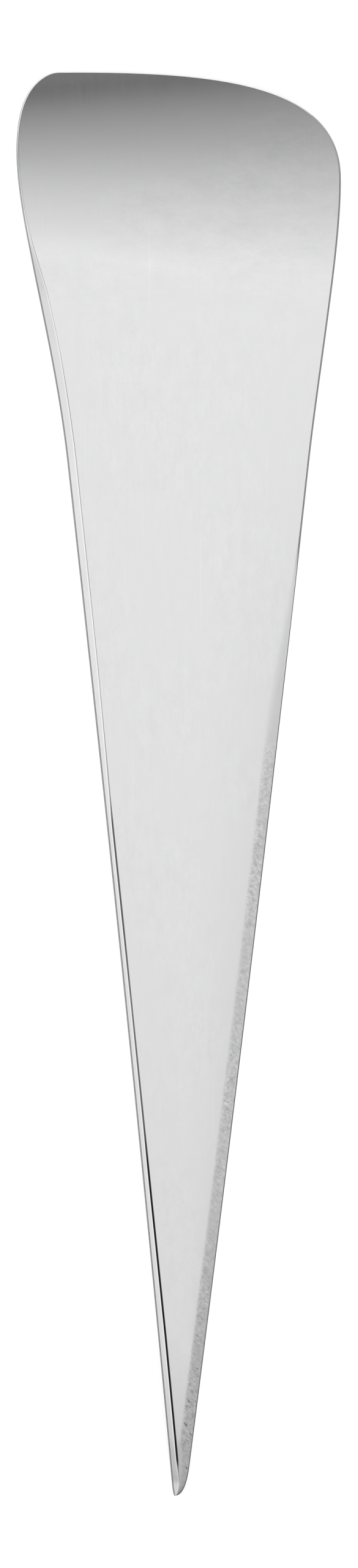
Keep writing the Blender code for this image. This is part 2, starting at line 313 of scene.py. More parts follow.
@dataclass(frozen=True)
class Outline:
    """Outline of the flat blank, with the tip at its origin, the handle end up and the spine to the left."""

    blade_length: float = 130.4 * MM
    handle_length: float = 52.2 * MM
    handle_width: float = 40.9 * MM
    handle_shift: float = 0.7 * MM
    neck_width: float = 30.42 * MM
    neck_shift: float = 1.74 * MM
    spine_bow: float = 0.29 * MM
    edge_bow: float = 0.28 * MM
    bulge_back: float = 12.5 * MM
    shoulder_back: float = 15.5 * MM
    crown_shift: float = -14.2 * MM
    tip_width: float = 2.2 * MM
    tip_shift: float = 0.8 * MM
    nose_height: float = 1.3 * MM
    belly_height: float = 4.0 * MM
    nose_fullness: Pair = (0.45, 0.5)
    belly_fullness: Pair = (0.5, 0.68)
    hip_fullness: Pair = (0.42, 0.26)
    side_fullness: Pair = (0.3, 0.22)
    top_left_fullness: Pair = (0.795, 0.27)
    top_right_fullness: Pair = (0.49, 0.88)
    curve_steps: int = 400

    @property
    def length(self) -> float:
        """Length of the flat blank."""
        return self.blade_length + self.handle_length

    def curve(self, start: Vector, handle_a: Vector, handle_b: Vector, end: Vector) -> Row:
        """Points along a smooth curve between two ends with their handles."""
        return np.array(interpolate_bezier(start, handle_a, handle_b, end, self.curve_steps + 1))

    def sweep(self, start: Vector, leaving: Vector, end: Vector, arriving: Vector, fullness: Pair) -> Row:
        """Smooth curve that leaves start in one direction and arrives at end in another.

        Args:
            start: Where the curve starts.
            leaving: Its direction there.
            end: Where the curve ends.
            arriving: Its direction there.
            fullness: How far each handle reaches, as a share of the way.

        Returns:
            Points along the curve.
        """
        chord = end - start
        reach = leaving * fullness[0] * chord.dot(leaving)
        pull = arriving * fullness[1] * chord.dot(arriving)
        return self.curve(start, start + reach, end - pull, end)

    @staticmethod
    def bowed(start: Vector, end: Vector, bow: float) -> tuple[Vector, Vector]:
        """Handles of a nearly straight side that bows to the right of its direction.

        Args:
            start: Where the side starts.
            end: Where it ends.
            bow: How far its middle lies aside.

        Returns:
            The two handles.
        """
        third = (end - start) / 3.0
        # The middle of such a curve lies three quarters as far aside as its handles
        aside = Vector((third.y, -third.x)).normalized() * bow * 4.0 / 3.0
        return start + third + aside, end - third + aside

    def chains(self) -> tuple[Row, Row, Row]:
        """Fine lines round the blank.

        Returns:
            The spine side from the tip to the upper left corner, the handle end from there to the upper
            right corner, and the edge side from the tip to that corner.
        """
        up, right = Vector((0.0, 1.0)), Vector((1.0, 0.0))
        tip = Vector((0.0, 0.0))
        spine_foot = Vector((self.tip_shift - self.tip_width / 2, self.nose_height))
        edge_foot = Vector((self.tip_shift + self.tip_width / 2, self.belly_height))
        neck_left = Vector((self.neck_shift - self.neck_width / 2, self.blade_length))
        neck_right = Vector((self.neck_shift + self.neck_width / 2, self.blade_length))
        bulge = Vector((self.handle_shift - self.handle_width / 2, self.length - self.bulge_back))
        shoulder = Vector((self.handle_shift + self.handle_width / 2, self.length - self.shoulder_back))
        crown = Vector((self.crown_shift, self.length))
        spine_a, spine_b = self.bowed(spine_foot, neck_left, self.spine_bow)
        edge_a, edge_b = self.bowed(edge_foot, neck_right, self.edge_bow)
        spine_in, spine_out = (spine_a - spine_foot).normalized(), (neck_left - spine_b).normalized()
        edge_in, edge_out = (edge_a - edge_foot).normalized(), (neck_right - edge_b).normalized()

        nose = self.sweep(tip, -right, spine_foot, spine_in, self.nose_fullness)
        spine = self.curve(spine_foot, spine_a, spine_b, neck_left)
        hip = self.sweep(neck_left, spine_out, bulge, up, self.hip_fullness)
        belly = self.sweep(tip, right, edge_foot, edge_in, self.belly_fullness)
        edge = self.curve(edge_foot, edge_a, edge_b, neck_right)
        side = self.sweep(neck_right, edge_out, shoulder, up, self.side_fullness)
        top_left = self.sweep(bulge, up, crown, right, self.top_left_fullness)
        top_right = self.sweep(crown, right, shoulder, -up, self.top_right_fullness)

        # The handle end reaches from where its line rises at 45 degrees to where it falls at 45 degrees
        top = np.vstack([top_left, top_right[1:]])
        way = np.gradient(top, axis=0)
        first = int(np.argmax(way[:, 0] > way[:, 1]))
        last = int(np.argmax(-way[:, 1] > way[:, 0]))
        left_side = np.vstack([nose, spine[1:], hip[1:], top[1 : first + 1]])
        right_side = np.vstack([belly, edge[1:], side[1:], top[last:-1][::-1]])
        return left_side, top[first : last + 1], right_side


class Rim(NamedTuple):
    """Stations round the blank: up the spine from the tip, along the handle end and down the edge."""

    place: Row
    inward: Row
    region: Row


class Work(NamedTuple):
    """How far each station is worked: its shares of the spine's facet, the grind and the dark line, whose
    groove carries painted shade.
    """

    facet: Row
    ground: Row
    line: Row


class Side(NamedTuple):
    """Form of the rim on the front or the back at each station, and the trims of its two rounds."""

    width: Row
    drop: Row
    inner: Row
    outer: Row


@dataclass(frozen=True)
class Grind:
    """Thickness of the sheet and the forms ground along its edges; heights are measured from the tip.

    The powers set how quickly a form or the rougher satin with its painted shade grows from where it begins.
    """

    sheet: float = 2.5 * MM
    tip_thickness: float = 1.5 * MM
    edge_thickness: float = 0.75 * MM
    edge_flat: float = 0.11 * MM
    point_length: float = 6.0 * MM
    start: float = 123.1 * MM
    runout: float = 38.0 * MM
    bevel_width: float = 1.6 * MM
    bevel_drop: float = 0.43 * MM
    bevel_blend: float = 0.32 * MM
    runout_blend: float = 1.6 * MM
    width_power: int = 2
    drop_power: float = 0.75
    blend_power: int = 3
    round_fade: int = 30
    textured_from: float = 0.7
    textured_full: float = 0.98
    edge_round: float = 0.15 * MM
    front_round: float = 0.22 * MM
    back_round: float = 0.8 * MM
    facet_widths: Table = (
        (20.0 * MM, 0.9 * MM),
        (38.0 * MM, 0.79 * MM),
        (85.0 * MM, 0.7 * MM),
        (106.0 * MM, 0.98 * MM),
        (136.0 * MM, 1.1 * MM),
        (146.0 * MM, 1.2 * MM),
        (152.0 * MM, 1.1 * MM),
        (158.0 * MM, 0.85 * MM),
        (164.0 * MM, 0.5 * MM),
    )
    facet_slope: float = 0.76
    facet_round: float = 0.24 * MM
    facet_end: float = 151.0 * MM
    facet_runout: float = 13.0 * MM
    arris_sharp: float = 0.025 * MM
    arris_lined: float = 0.125 * MM
    # Width of the painted highlight beside the dark line, which also places each strip's middle point, and
    # how far from the tip it fades in
    highlight_width: float = 0.28 * MM
    highlight_fade: float = 5.0 * MM
    # Strength of the dark line along the blade, which sets its groove and the painted shade in it
    line_strengths: Table = (
        (42.0 * MM, 1.0),
        (47.0 * MM, 0.78),
        (57.0 * MM, 0.7),
        (62.0 * MM, 0.64),
        (73.0 * MM, 0.8),
        (85.5 * MM, 0.78),
        (89.0 * MM, 0.3),
        (97.0 * MM, 0.15),
        (104.0 * MM, 0.11),
        (139.0 * MM, 0.14),
        (146.0 * MM, 0.03),
    )
    line_fade: Pair = (2.4 * MM, 4.7 * MM)
    line_depth: float = 0.06 * MM
    coarse_length: float = 52.0 * MM
    coarse_least: float = 0.22
    # The rougher satin with painted shade: where it starts across the blade, how strong and steep it is
    # there, its reach from the tip, and where it fades
    haze_shade_start: float = 0.5
    haze_shade_side: float = 0.5
    haze_shade_power: float = 1.5
    haze_shade_tip: float = 22.0 * MM
    haze_shade_end: Pair = (60.0 * MM, 160.0 * MM)

    def ground(self, y: Row) -> Row:
        """Share of the full grind at height y: nothing on the handle, all of it along the blade."""
        return ease((self.start - y) / self.runout)

    def bevel(self, ground: Row) -> tuple[Row, Row]:
        """Width and drop of the front bevel, which starts as a shallow facet out of the handle's round.

        Args:
            ground: Share of the full grind.

        Returns:
            The width and the drop.
        """
        width = mix(self.front_round, self.bevel_width, 1.0 - (1.0 - ground) ** self.width_power)
        drop = self.front_round * self.plain(ground) + self.bevel_drop * ground**self.drop_power
        return width, drop

    def plain(self, ground: Row) -> Row:
        """How much of the handle's own round is left where the grind starts."""
        return (1.0 - ground) ** self.round_fade

    def textured(self, ground: Row) -> Row:
        """Share of the ground edge's texture, which starts below the smooth end of the bevel."""
        return ease((ground - self.textured_from) / (self.textured_full - self.textured_from))

    def faceted(self, y: Row) -> Row:
        """Share of the full spine facet at height y: all of it below the curl, none around its end."""
        return 1.0 - ease((y - self.facet_end) / self.facet_runout)

    def facet_width(self, y: Row) -> Row:
        """Width of the spine facet at height y."""
        return np.interp(y, *np.array(self.facet_widths).T)

    def lined(self, y: Row) -> Row:
        """Strength of the dark line along the facet, for its groove and its painted shade: faint on the
        upper blade, full below.

        Args:
            y: Height above the tip.

        Returns:
            The strength, from 0 to 1.
        """
        first, full = self.line_fade
        strength = np.interp(y, *np.array(self.line_strengths).T)
        return strength * ease((y - first) / (full - first)) * self.faceted(y)

    def coarse(self, y: Row) -> Row:
        """How coarse the ground bevel's finish is at height y: full at the tip, fine towards the handle."""
        return mix(1.0, self.coarse_least, ease(y / self.coarse_length))

    def blend(self, ground: Row) -> Row:
        """How far the front bevel's inner corner is rounded, most where the grind runs out."""
        return mix(self.runout_blend, self.bevel_blend, ground)

    def haze(self, across: Row, y: Row) -> Row:
        """Share of the rougher satin and its painted shade: more at the point and, below the handle, towards
        the ground edge.

        Args:
            across: Share of the way from the spine to the edge.
            y: Height above the tip.

        Returns:
            The share of the rougher satin, whose darker colour is painted shade.
        """
        low, high = self.haze_shade_end
        side = np.clip((across - self.haze_shade_start) / (1.0 - self.haze_shade_start), 0.0, 1.0) ** self.haze_shade_power
        side = self.haze_shade_side * side * (1.0 - ease((y - low) / (high - low)))
        return np.maximum(side, ease(1.0 - y / self.haze_shade_tip))

    def spine_thickness(self, y: Row) -> Row:
        """Thickness along the spine: the full sheet on the handle, thinner to the tip, which is blunt.

        Args:
            y: Height above the tip.

        Returns:
            The thickness.
        """
        taper = mix(self.tip_thickness, self.sheet, np.minimum(y / self.start, 1.0))
        left = np.maximum(1.0 - y / self.point_length, 0.0)
        return mix(self.edge_thickness, taper, np.sqrt(1.0 - left * left))

    def work(self, rim: Rim) -> Work:
        """Finds how far each station is worked.

        Args:
            rim: The stations.

        Returns:
            Their shares.
        """
        y = rim.place[:, 1]
        on_spine, on_edge = rim.region == Region.SPINE, rim.region == Region.EDGE
        return Work(
            facet=np.where(on_spine, self.faceted(y), 0.0),
            ground=np.where(on_edge, self.ground(y), 0.0),
            line=np.where(on_spine, self.lined(y), 0.0),
        )

    def sides(self, y: Row, work: Work) -> tuple[Side, Side]:
        """Forms of the rim at every station.

        Args:
            y: Height of each station above the tip.
            work: How far it is worked.

        Returns:
            The front and the back.
        """
        facet, ground, line = work
        bevel_width, bevel_drop = self.bevel(ground)
        back_drop = self.edge_thickness - self.edge_flat - self.bevel_drop
        facet_width = self.facet_width(y)
        arris = mix(self.arris_sharp, self.arris_lined, line)
        blended = 1.0 - (1.0 - ground) ** self.blend_power
        half_front, half_back = self.front_round / 2, self.back_round / 2
        front = Side(
            width=mix(bevel_width, facet_width, facet),
            drop=mix(bevel_drop, facet_width * self.facet_slope, facet),
            inner=mix(mix(half_front, arris, facet), self.blend(ground), blended),
            outer=mix(mix(half_front, self.facet_round, facet), self.edge_round, ground),
        )
        back = Side(
            width=mix(self.back_round, self.bevel_width, ground),
            drop=mix(self.back_round, back_drop, ground),
            inner=mix(half_back, self.bevel_blend, ground),
            outer=mix(half_back, self.edge_round, ground),
        )
        return front, back


@dataclass(frozen=True)
class Curl:
    """The roll of the handle end: a Geometry Nodes tree that bends the blank and lays on its finishes.

    The roll widens from the spine to the edge like a cone: flare is how much per metre, and at the hinge
    the whole width has turned by the same angle. Where it has made its full turn it runs on straight.
    """

    length: float = 27.6 * MM
    radius: float = 37.0 * MM
    hinge: float = 15.3 * MM
    flare: float = 7.0
    turn: float = math.radians(42.0)

    def sizes(self, blank: float) -> dict[str, float]:
        """Sizes of the roll by the names of the tree's inputs.

        Args:
            blank: Length of the flat blank.

        Returns:
            The sizes, with heights measured from the tip.
        """
        return {
            "Curl start": blank - self.length,
            "Curl radius": self.radius,
            "Curl hinge": blank - self.hinge,
            "Curl flare": self.flare,
            "Curl turn": self.turn,
        }

    def tree(self, sizes: dict[str, float]) -> bpy.types.NodeTree:
        """Builds the tree.

        Args:
            sizes: Sizes of the roll, whose names become inputs.

        Returns:
            A geometry node tree with named inputs for those sizes and the three finishes.
        """
        board = Board(bpy.data.node_groups.new("roll_handle_end", "GeometryNodeTree"))
        board.sockets("INPUT", "NodeSocketGeometry", "Geometry")
        board.sockets("INPUT", "NodeSocketFloat", *sizes)
        board.sockets("INPUT", "NodeSocketMaterial", *(zone.title for zone in Zone))
        board.sockets("OUTPUT", "NodeSocketGeometry", "Geometry")
        given = board.given()

        # How far a point lies past the start of the roll there, and so how far it turns
        position = board.node("GeometryNodeInputPosition").outputs[0]
        x, y, z = board.place("ShaderNodeSeparateXYZ", position).outputs
        wider = board.math("MULTIPLY_ADD", x, given["Curl flare"], 1.0)
        radius = board.math("MULTIPLY", wider, given["Curl radius"])
        lead = board.math("SUBTRACT", given["Curl hinge"], given["Curl start"])
        start = board.math("SUBTRACT", given["Curl hinge"], board.math("MULTIPLY", wider, lead))
        past = board.math("MAXIMUM", board.math("SUBTRACT", y, start), 0.0)
        turn = board.math("MINIMUM", board.math("DIVIDE", past, radius), given["Curl turn"])
        straight = board.math("SUBTRACT", past, board.math("MULTIPLY", radius, turn))

        # Where the point comes to lie: round the roll, and then straight on
        sine, cosine = board.math("SINE", turn), board.math("COSINE", turn)
        out = board.math("ADD", radius, z)
        flat = board.math("MINIMUM", y, start)
        ahead = board.math("MULTIPLY_ADD", out, sine, board.math("MULTIPLY_ADD", straight, cosine, flat))
        drop = board.math("MULTIPLY_ADD", straight, sine, radius)
        height = board.math("SUBTRACT", board.math("MULTIPLY", out, cosine), drop)
        rolled = board.place("ShaderNodeCombineXYZ", x, ahead, height).outputs[0]

        # The finishes keep the place on the flat blank, so that their patterns follow the roll
        kept = board.node(
            "GeometryNodeStoreNamedAttribute",
            {"Geometry": given["Geometry"], "Name": Mark.FLAT.value, "Value": position},
            data_type="FLOAT_VECTOR",
            domain="POINT",
        )
        moved = board.node("GeometryNodeSetPosition", {"Geometry": kept.outputs[0], "Position": rolled})
        smooth = board.place("GeometryNodeSetShadeSmooth", moved.outputs[0])
        shape = board.place("GeometryNodeRealizeInstances", smooth.outputs[0]).outputs[0]
        zone_of = board.node("GeometryNodeInputNamedAttribute", {"Name": Mark.ZONE.value}, data_type="INT")
        for zone in Zone:
            pair = {COMPARE_FIRST: zone_of.outputs["Attribute"], COMPARE_SECOND: int(zone)}
            same = board.node("FunctionNodeCompare", pair, data_type="INT", operation="EQUAL").outputs[0]
            dress = {"Geometry": shape, "Selection": same, "Material": given[zone.title]}
            shape = board.node("GeometryNodeSetMaterial", dress).outputs[0]
        return board.give(shape)


@dataclass
class KnifeBody:
    """The whole knife: a flat blank with ground edges, rolled at the handle end and laid on the table.

    The crowding draws the rows together at the tip, and the pull bends them to the form of the handle end.
    """

    outline: Outline = Outline()
    grind: Grind = Grind()
    curl: Curl = Curl()
    tip_rows: int = 16
    tip_crowding: int = 2
    blade_rows: int = 180
    end_rows: int = 56
    end_pull: int = 2
    columns: int = 56
    free_height: float = 148.0 * MM
    turning_length: float = 12.0 * MM
    curl_blend: float = 12.0 * MM
    round_steps: int = 4
    support: float = 0.05 * MM
    spine_share: float = 0.55
    merge: float = 0.0001 * MM
    left: Row = field(init=False)
    end: Row = field(init=False)
    right: Row = field(init=False)

    def __post_init__(self) -> None:
        """Draws the outline once."""
        self.left, self.end, self.right = self.outline.chains()

    @property
    def rows(self) -> int:
        """Number of steps along each side."""
        return self.tip_rows + self.blade_rows + self.end_rows

    def rim(self) -> Rim:
        """Places the stations round the blank.

        Returns:
            Their places, the directions into the blank and the regions they lie in.
        """
        point = self.grind.point_length
        near = point * (np.arange(self.tip_rows) / self.tip_rows) ** self.tip_crowding
        levels = np.concatenate([near, np.linspace(point, self.free_height, self.blade_rows + 1)])
        sides = []
        for chain in (self.left, self.right):
            low = np.column_stack([np.interp(levels, chain[:, 1], chain[:, 0]), levels])
            above = chain[chain[:, 1] > self.free_height]
            high = spaced(np.vstack([low[-1:], above]), self.end_rows)
            sides.append(np.vstack([low, high[1:]]))
        across = spaced(self.end, self.columns)[1:-1]
        place = np.vstack([sides[0], across, sides[1][::-1]])
        counts = (self.rows + 1, self.columns - 1, self.rows + 1)
        region = np.repeat([int(r) for r in Region], counts)

        # Level across the blade, and square to the outline round the handle end
        way = np.gradient(place, axis=0)
        square = np.column_stack([way[:, 1], -way[:, 0]])
        square /= np.linalg.norm(square, axis=1)[:, None]
        level = np.zeros_like(place)
        level[:, 0] = np.select([region == Region.SPINE, region == Region.EDGE], [1.0, -1.0])
        turned = ease((place[:, 1] - self.free_height) / self.turning_length + 1.0)
        turned = np.where(region == Region.END, 1.0, turned)
        inward = mix(level, square, turned[:, None])
        inward /= np.linalg.norm(inward, axis=1)[:, None]
        return Rim(place, inward, region)

    def across(self, place: Row) -> Row:
        """Share of the way from the spine to the edge, for rows of (x, y)."""
        low, high = (np.interp(place[:, 1], c[:, 1], c[:, 0]) for c in (self.left, self.right))
        return np.clip((place[:, 0] - low) / np.maximum(high - low, self.grind.edge_flat), 0.0, 1.0)

    def thickness(self, place: Row) -> Row:
        """Thickness of the knife over points of the blank, given as rows of (x, y)."""
        spine = self.grind.spine_thickness(place[:, 1])
        return mix(spine, self.grind.edge_thickness, self.grind.ground(place[:, 1]) * self.across(place))

    def stations(self, spine: Row, edge: Row, end: float) -> Row:
        """Spreads values given up both sides over all stations, with another one round the end."""
        return np.concatenate([spine, np.full(self.columns - 1, end), edge[::-1]])

    def fitted(self, side: Side, room: Row) -> tuple[Row, Row]:
        """Fits the forms of spine and edge into the room between them, which is scarce at the tip.

        Args:
            side: Form of the rim on the front or the back.
            room: Width of the blank at each row.

        Returns:
            Insets of the form's inner end and inner corner, and drops of its inner and outer corner.
        """
        rows = self.rows + 1
        reach = side.width + side.inner + self.support
        spine = np.minimum(1.0, self.spine_share * room / reach[:rows])
        edge = np.minimum(1.0, (room - spine * reach[:rows]) / reach[::-1][:rows])
        # Where the edge's form has no room left, the whole row sinks by the rest of its drop
        sunk = side.drop[::-1][:rows] * (1.0 - edge)
        drop = side.drop.copy()
        drop[:rows] = sunk + drop[:rows] * spine
        scale = self.stations(spine, edge, 1.0)
        insets = np.stack([reach * scale, side.width * scale])
        return insets, np.stack([self.stations(sunk, sunk, 0.0), drop])

    def sections(self, rim: Rim, work: Work) -> Row:
        """Draws the section of the rim at every station, from the front face round to the back.

        Args:
            rim: The stations.
            work: How far each of them is worked.

        Returns:
            Stations by points by (x, y, z).
        """
        grind = self.grind
        front, back = grind.sides(rim.place[:, 1], work)
        thick = self.thickness(rim.place)
        room = np.maximum((rim.place[::-1] - rim.place)[: self.rows + 1, 0], 0.0)
        front_insets, front_drops = self.fitted(front, room)
        back_insets, back_drops = self.fitted(back, room)
        # Front and back leave at least the flat of the edge between them
        deep = thick - grind.edge_flat
        front_drops[1] = np.minimum(front_drops[1], deep - back_drops[0])
        back_drops[1] = np.minimum(back_drops[1], deep - front_drops[1])

        # Sharp corners, as insets from the outline and depths below the front
        back_places = [rim.place + rim.inward * inset[:, None] for inset in back_insets]
        back_end, back_corner = (self.thickness(place) - back_drops[0] for place in back_places)
        zero = np.zeros_like(thick)
        pairs = (
            (front_insets[0], front_drops[0]),
            (front_insets[1], front_drops[0]),
            (zero, front_drops[1]),
            (zero, thick - back_drops[1]),
            (back_insets[1], back_corner),
            (back_insets[0], back_end),
        )
        corners = [np.column_stack(pair) for pair in pairs]

        # Their rounds, the groove of the dark line in the first, and the flat strips between them
        trims = (front.inner, front.outer, back.outer, back.inner)
        rounds = [fillet(*corners[i : i + 3], trim, self.round_steps) for i, trim in enumerate(trims)]
        hollow = np.sin(math.pi * np.linspace(0.0, 1.0, self.round_steps + 1))
        rounds[0][:, :, 1] += (work.line * grind.line_depth)[:, None] * hollow
        lines = [corners[0][:, None], rounds[0]]
        for a, b in zip(rounds, rounds[1:]):
            lines += [strip_points(a[:, -1], b[:, 0], self.support, grind.highlight_width), b]
        lines.append(corners[-1][:, None])
        outlines = np.concatenate(lines, axis=1)
        flat = rim.place[:, None] + rim.inward[:, None] * outlines[:, :, :1]
        return np.concatenate([flat, -outlines[:, :, 1:]], axis=2)

    def marks(self, rim: Rim, work: Work, depth: int) -> dict[Mark, Row]:
        """Marks the points of the sections for the finishes along the rim, and for their painted light and
        shade.

        Args:
            rim: The stations.
            work: How far each of them is worked.
            depth: Number of points along a section.

        Returns:
            Stations by points, for each mark.
        """
        grind = self.grind
        y = rim.place[:, 1]
        # Along a section: the painted shade of the line in its first round, the painted highlight on the
        # corner beside it, and the rise to the edge
        count = self.round_steps + 1
        rise = ease(np.linspace(0.0, 1.0, count))
        dark, worn, fade = np.zeros(depth), np.zeros(depth), np.ones(depth)
        dark[1 : count + 1] = 1.0
        worn[count : count + 2] = 1.0
        fade[: count + 1] = [0.0, *rise]
        fade[-count - 1 :] = [*rise[::-1], 0.0]
        textured = grind.textured(work.ground)
        # Painted shade on the edge's rim, where the handle's round is left
        plain = np.where(rim.region == Region.EDGE, grind.plain(work.ground), 0.0)
        shares = {
            Mark.LINE: (work.line, dark),
            Mark.WORN: (work.facet * ease(y / grind.highlight_fade), worn),
            Mark.EDGED: (textured, fade),
            Mark.GROUND: (textured * grind.coarse(y), fade),
            Mark.CUT: (plain, fade),
        }
        return {mark: np.outer(along, around) for mark, (along, around) in shares.items()}

    def face(self, ring: Row) -> Row:
        """Fills a face with rows of points between its two sides, bent to the handle end as they near it.

        Args:
            ring: The face's outermost points, one for each station.

        Returns:
            Rows by columns by (x, y, z), with the ring's own points at the ends.
        """
        left, right = ring[: self.rows + 1], ring[::-1][: self.rows + 1]
        top = np.vstack([left[-1:], ring[self.rows + 1 : self.rows + self.columns], right[-1:]])
        share = np.linspace(0.0, 1.0, self.columns + 1)[:, None]
        bulge = top - mix(top[0], top[-1], share)
        first = self.tip_rows + self.blade_rows
        weight = np.clip((np.arange(self.rows + 1) - first) / self.end_rows, 0.0, 1.0) ** self.end_pull
        return mix(left[:, None], right[:, None], share[None]) + weight[:, None, None] * bulge[None]

    def rim_zones(self, region: Row, depth: int) -> Row:
        """Finish of every face of the rim.

        Args:
            region: Region of each station.
            depth: Number of points along a section.

        Returns:
            Stations less one by faces along the section.
        """
        # Counted from either side of the knife: a first face, the round, the strip, and then the corner
        faces = np.arange(depth - 1)
        across = np.minimum(faces, faces[::-1])
        strip = self.round_steps + 1
        corner = strip + STRIP_POINTS + 1
        # The outer rim takes the rougher finish with painted shade
        plain = np.where(across >= corner, Zone.CUT, Zone.SATIN)
        end = np.where(across >= strip, Zone.CUT, Zone.SATIN)
        ground = np.where(across >= corner, Zone.CUT, np.where(across >= 1, Zone.GROUND, Zone.SATIN))
        return np.stack([plain, end, ground])[region[:-1]]

    def blank(self) -> bpy.types.Object:
        """Builds the flat blank as one closed mesh that carries the marks for its finishes.

        Returns:
            The new object, with the front face at z = 0.
        """
        rim = self.rim()
        work = self.grind.work(rim)
        section = self.sections(rim, work)
        count, depth = section.shape[:2]
        total = count * depth
        around = np.arange(total).reshape(count, depth)
        points, grids = [section.reshape(-1, 3)], [(around, self.rim_zones(rim.region, depth))]
        # The front and the back are filled between the first and the last points of the sections
        for side in (0, depth - 1):
            rows = self.face(section[:, side])
            inner = rows[:-1, 1:-1].reshape(-1, 3)
            index = np.empty(rows.shape[:2], dtype=int)
            index[:, 0] = around[: self.rows + 1, side]
            index[:, -1] = around[::-1, side][: self.rows + 1]
            index[-1, 1:-1] = around[self.rows + 1 : self.rows + self.columns, side]
            index[:-1, 1:-1] = total + np.arange(len(inner)).reshape(self.rows, self.columns - 1)
            points.append(inner)
            grids.append((index, np.full((self.rows, self.columns), Zone.SATIN)))
            total += len(inner)
        quads = [
            np.stack((i[:-1, :-1], i[:-1, 1:], i[1:, 1:], i[1:, :-1]), axis=-1).reshape(-1, 4)
            for i, _ in grids
        ]

        spots = np.vstack(points)
        marks = self.marks(rim, work, depth)
        marks[Mark.HAZE] = self.grind.haze(self.across(spots), spots[:, 1])
        curl_start = self.outline.length - self.curl.length
        marks[Mark.CURL] = ease((spots[:, 1] - curl_start) / self.curl_blend + 1.0)
        mesh = bpy.data.meshes.new(PIECE)
        mesh.from_pydata(spots.tolist(), [], np.vstack(quads).tolist())
        for mark, values in marks.items():
            spread = np.zeros(total, dtype=np.float32)
            spread[: values.size] = values.reshape(-1)
            mesh.attributes.new(mark.value, "FLOAT", "POINT").data.foreach_set("value", spread)
        zones = np.concatenate([z.reshape(-1) for _, z in grids]).astype(np.int32)
        mesh.attributes.new(Mark.ZONE.value, "INT", "FACE").data.foreach_set("value", zones)
        self.close(mesh)
        return add_object(PIECE, mesh)

    def close(self, mesh: bpy.types.Mesh) -> None:
        """Joins the points that meet at the tip and turns all faces outwards.

        Args:
            mesh: The flat blank.
        """
        bm = bmesh.new()
        bm.from_mesh(mesh)
        bmesh.ops.remove_doubles(bm, verts=bm.verts[:], dist=self.merge)
        bmesh.ops.dissolve_degenerate(bm, edges=bm.edges[:], dist=self.merge)
        bmesh.ops.recalc_face_normals(bm, faces=bm.faces[:])
        bm.to_mesh(mesh)
        bm.free()

    def roll(self, knife: bpy.types.Object, finishes: dict[Zone, bpy.types.Material]) -> None:
        """Rolls the handle end and dresses each zone, leaving a plain mesh.

        Args:
            knife: The flat blank.
            finishes: The material of each zone.
        """
        sizes = self.curl.sizes(self.outline.length)
        values = {**sizes, **{zone.title: material for zone, material in finishes.items()}}
        modifier = knife.modifiers.new("roll", "NODES")
        modifier.node_group = self.curl.tree(sizes)
        for item in modifier.node_group.interface.items_tree:
            if item.name in values:
                modifier[item.identifier] = values[item.name]
        graph = bpy.context.evaluated_depsgraph_get()
        rolled = bpy.data.meshes.new_from_object(knife.evaluated_get(graph))
        knife.modifiers.clear()
        knife.data = rolled
        rolled.name = PIECE

    def lie_down(self, knife: bpy.types.Object) -> None:
        """Turns the knife as its frame lies, front up, and sets it on the table in the same place.

        Args:
            knife: The rolled knife.
        """
        mount = next(m for m in frame["record"]["mounts"] if m["name"] == FACE_MOUNT)
        up = Vector(mount["axis"]).normalized()
        along = Vector((0.0, up.z, -up.y)).normalized()
        turn = Matrix((along.cross(up), along, up)).transposed()
        knife.data.transform(turn.to_4x4())
        spots = np.empty(len(knife.data.vertices) * 3)
        knife.data.vertices.foreach_get("co", spots)
        spots = spots.reshape(-1, 3)
        solid = np.array([v.co for v in frame["nodes"][NODE].data.vertices])
        # The tips meet, the front lies in the plane of its mount, and nothing dips below the table
        shift = solid[solid[:, 1].argmin()] - spots[spots[:, 1].argmin()]
        shift[2] = (Vector(mount["pos_m"]).dot(up) - up.x * shift[0] - up.y * shift[1]) / up.z
        spots += shift
        spots[:, 2] = np.maximum(spots[:, 2], solid[:, 2].min())
        knife.data.vertices.foreach_set("co", spots.reshape(-1))
        knife.data.update()

    def build(self, finishes: dict[Zone, bpy.types.Material]) -> bpy.types.Object:
        """Builds the dressed knife in place and lets it stand for the frame's solid.

        Args:
            finishes: The material of each zone.

        Returns:
            The finished piece.
        """
        knife = self.blank()
        self.roll(knife, finishes)
        self.lie_down(knife)
        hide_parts(NODE)
        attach(knife, BODY)
        return knife


